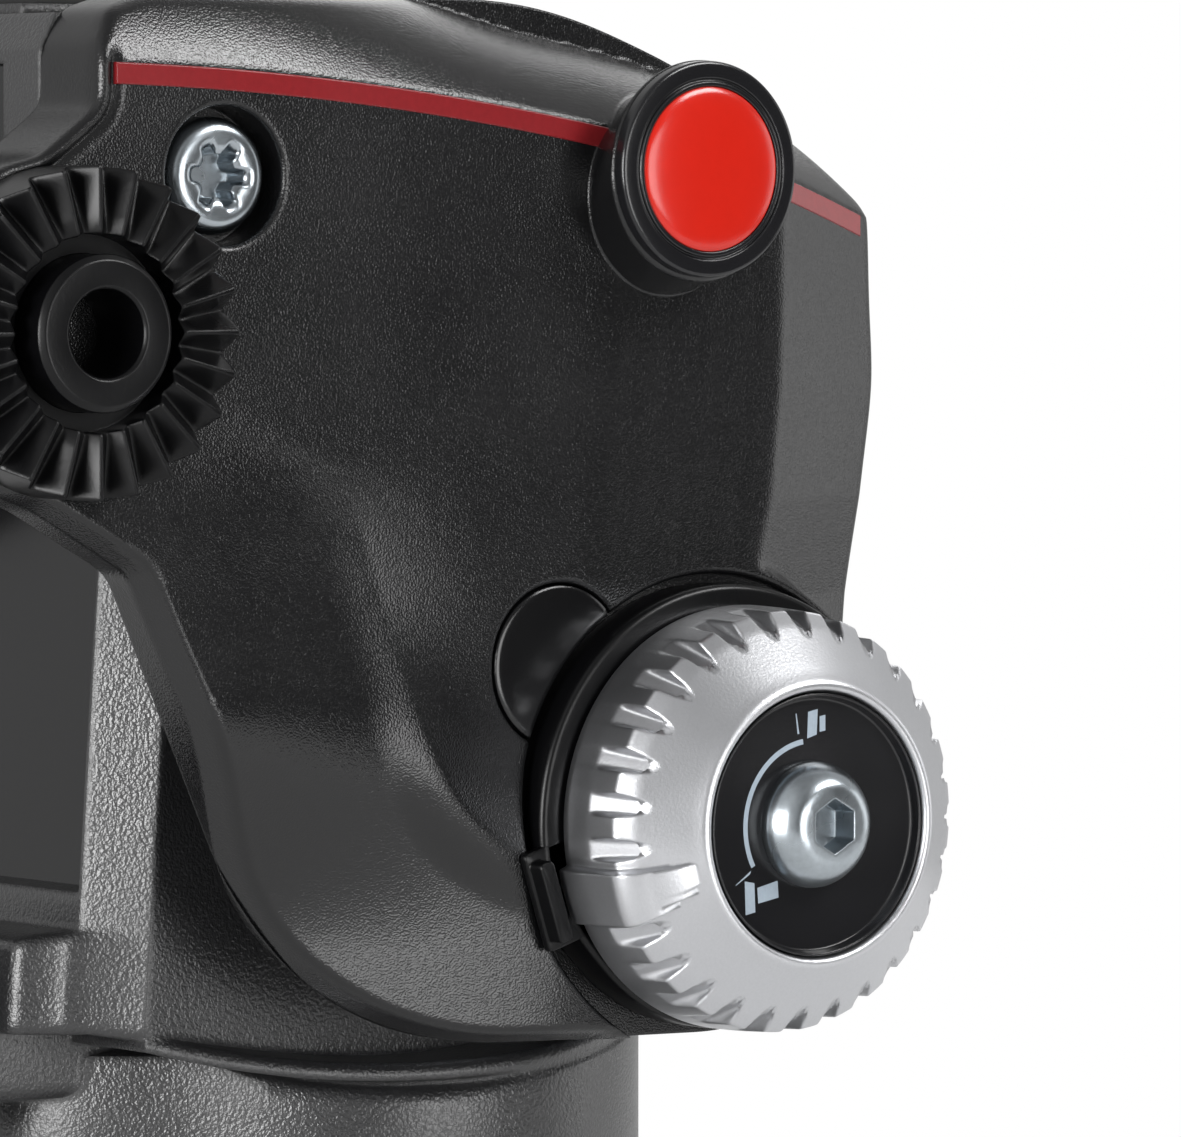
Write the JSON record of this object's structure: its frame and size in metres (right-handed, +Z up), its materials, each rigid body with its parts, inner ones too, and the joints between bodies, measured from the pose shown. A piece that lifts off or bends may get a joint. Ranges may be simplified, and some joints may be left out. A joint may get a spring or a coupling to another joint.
{
  "type": "two-way pan tilt head",
  "caption": "Pan tilt head with moulded cheeks on a cast stem, silver tilt-drag knob, handle rosettes, red stripe and badge, clamped camera plate.",
  "frame": {"origin": "mouth of the tripod thread on the underside of the base, on the pan axis", "axes": "+Z up along the pan axis, +Y to the front (the way the camera looks), +X to the side with the tilt drag knob"},
  "size_m": [0.0952, 0.1012, 0.134],
  "materials": {
    "cheek_plastic": "fine moulded grain",
    "smooth_plastic": "smooth satin",
    "powder_coat": "wrinkle powder coat",
    "satin_silver": "satin",
    "zinc_steel": "bright zinc plate",
    "steel": "machined",
    "brass": "machined",
    "red_gloss": "gloss",
    "red_stripe": "satin",
    "disc_black": "satin",
    "pad_rubber": "matt",
    "plate_coat": "satin coat",
    "vial_glass": "clear tinted"
  },
  "bodies": {
    "base": {"base_plate": "powder_coat", "base_pad": "pad_rubber", "thread_insert": "brass", "pan_spindle": "steel", "flange_screws": "zinc_steel", "pan_scale_ring": "satin_silver", "thrust_washer": "brass", "retaining_ring": "steel"},
    "pan_body": {"stem_casting": "powder_coat", "stem_rear_cover": "smooth_plastic", "pan_bush_lower": "brass", "pan_bush_upper": "brass", "brake_slug": "brass", "tilt_axle": "steel", "axle_grub_screw": "steel", "friction_disc_right": "steel", "friction_disc_left": "steel"},
    "pan_knob": {"pan_knob": "smooth_plastic", "pan_knob_screw": "zinc_steel", "pan_knob_cap": "satin_silver"},
    "tilt_body": {"right_cheek": "cheek_plastic", "left_cheek": "cheek_plastic", "top_platform": "powder_coat", "front_hood": "cheek_plastic", "rear_panel": "smooth_plastic", "right_stripe": "red_stripe", "left_stripe": "red_stripe", "right_badge_ring": "disc_black", "left_badge_ring": "disc_black", "right_badge_dome": "red_gloss", "left_badge_dome": "red_gloss", "right_rosette": "smooth_plastic", "left_rosette": "smooth_plastic", "right_rosette_bush": "smooth_plastic", "left_rosette_bush": "smooth_plastic", "right_cheek_screws": "zinc_steel", "left_cheek_screws": "zinc_steel", "right_flush_cap": "cheek_plastic", "left_flush_cap": "cheek_plastic", "knob_guard": "smooth_plastic", "left_hub_cover": "smooth_plastic", "hub_cover_screws": "zinc_steel", "axle_bush_right": "brass", "axle_bush_left": "brass", "drag_housing_right": "steel", "drag_housing_left": "steel", "level_vial": "vial_glass", "lever_pin": "steel", "camera_plate": "plate_coat", "plate_pad": "pad_rubber"},
    "tilt_knob": {"tilt_knob": "satin_silver", "tilt_knob_disc": "disc_black", "tilt_knob_screw": "zinc_steel"},
    "clamp_lever": {"clamp_lever": "smooth_plastic"},
    "safety_button": {"safety_button": "brass"},
    "camera_screw": {"camera_screw": "zinc_steel"}
  },
  "joints": [
    {"name": "pan", "type": "hinge", "parent": "base", "child": "pan_body", "pos_m": [0, 0, 0.0144], "axis": [0, 0, 1], "continuous": true},
    {"name": "tilt", "type": "hinge", "parent": "pan_body", "child": "tilt_body", "pos_m": [0, 0.014, 0.06], "axis": [-1, 0, 0], "range_deg": [-60, 90]},
    {"name": "pan_lock", "type": "hinge", "parent": "pan_body", "child": "pan_knob", "pos_m": [0, -0.0437, 0.043], "axis": [0, -1, 0], "range_deg": [0, 270]},
    {"name": "tilt_drag", "type": "hinge", "parent": "tilt_body", "child": "tilt_knob", "pos_m": [0.0383, 0.014, 0.06], "axis": [1, 0, 0], "range_deg": [-90, 30]},
    {"name": "plate_lever", "type": "hinge", "parent": "tilt_body", "child": "clamp_lever", "pos_m": [-0.0315, -0.0056, 0.124], "axis": [0, 0, -1], "range_deg": [0, 50], "stiffness_Nm_per_rad": 0.05},
    {"name": "safety_catch", "type": "slide", "parent": "tilt_body", "child": "safety_button", "axis": [0, 0, -1], "range_m": [0, 0.002], "stiffness_N_per_m": 150},
    {"name": "camera_bolt", "type": "hinge", "parent": "tilt_body", "child": "camera_screw", "pos_m": [0, -0.0196, 0.1207], "axis": [0, 0, 1], "continuous": true}
  ]
}
